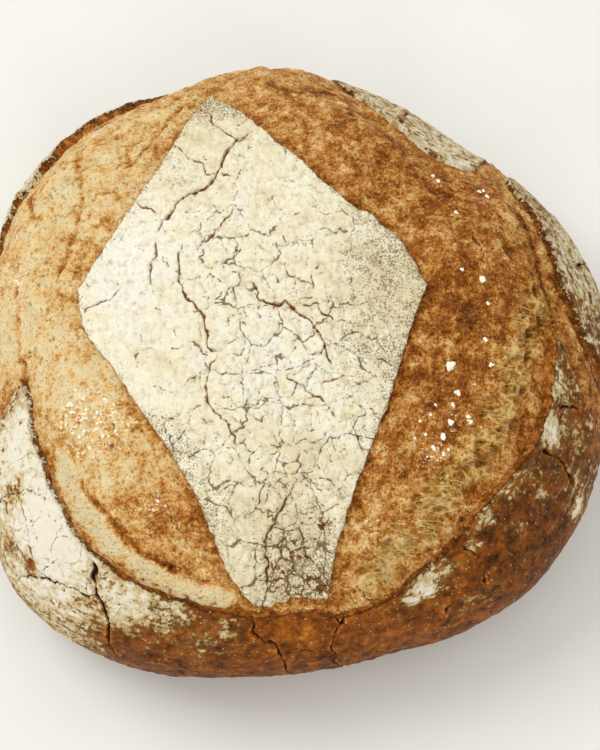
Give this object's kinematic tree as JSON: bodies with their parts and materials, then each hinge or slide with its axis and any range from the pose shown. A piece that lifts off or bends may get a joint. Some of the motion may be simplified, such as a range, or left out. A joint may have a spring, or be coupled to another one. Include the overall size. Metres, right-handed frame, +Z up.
{
  "type": "rye bread loaf",
  "caption": "Round hearth-baked rye loaf: a floured kite of skin framed by burst, browned dough and lifted crust edges.",
  "frame": {"origin": "middle of the loaf's box, on the table it rests on", "axes": "+Z up out of the table, through the floured kite; +Y away from the viewer, towards the kite's shorter sides; +X to the viewer's right"},
  "size_m": [0.2615, 0.2695, 0.1053],
  "materials": {
    "crust": "baked rye crust, brown to tan, dusted with cream flour; matt, slightly glossy where it is bare"
  },
  "bodies": {
    "root": {"loaf": "crust"}
  },
  "joints": []
}
